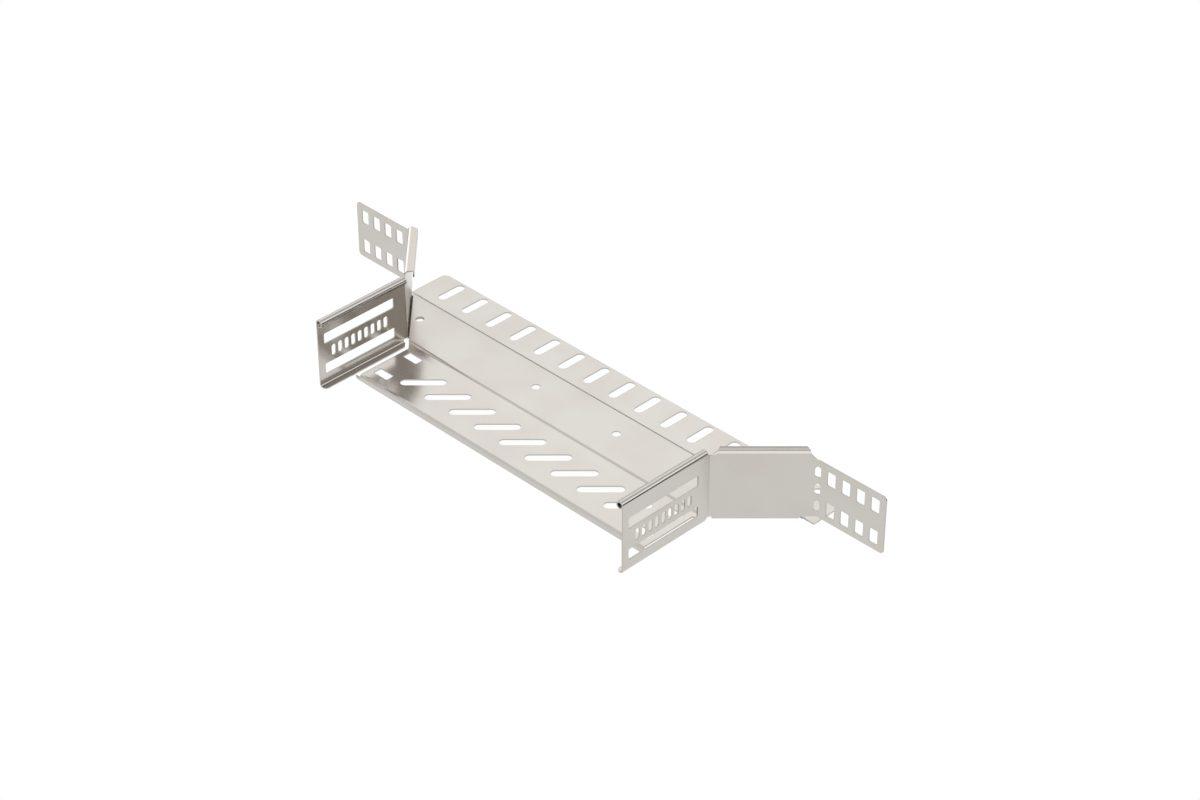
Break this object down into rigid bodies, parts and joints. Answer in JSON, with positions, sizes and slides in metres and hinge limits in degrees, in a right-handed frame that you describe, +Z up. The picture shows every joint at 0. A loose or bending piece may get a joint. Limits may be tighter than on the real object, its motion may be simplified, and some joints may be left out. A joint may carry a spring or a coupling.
{
  "type": "cable tray branch tee",
  "caption": "Perforated folded-sheet add-on tee that opens a side branch in a cable tray, with slotted side walls, slanting corner plates and drilled fixing wings.",
  "frame": {"origin": "middle of the footprint, in the plane that the rear strip and the front lip stand on", "axes": "+X along the main tray, +Y from the branch towards the main tray, +Z up"},
  "size_m": [0.5094, 0.1632, 0.061],
  "materials": {
    "floor_plate": "smooth cold-rolled stainless sheet, pickled, with no coating",
    "side_left": "smooth cold-rolled stainless sheet, pickled, with no coating",
    "side_right": "smooth cold-rolled stainless sheet, pickled, with no coating"
  },
  "bodies": {
    "root": {"floor_plate": "floor_plate", "side_left": "side_left", "side_right": "side_right"}
  },
  "joints": []
}
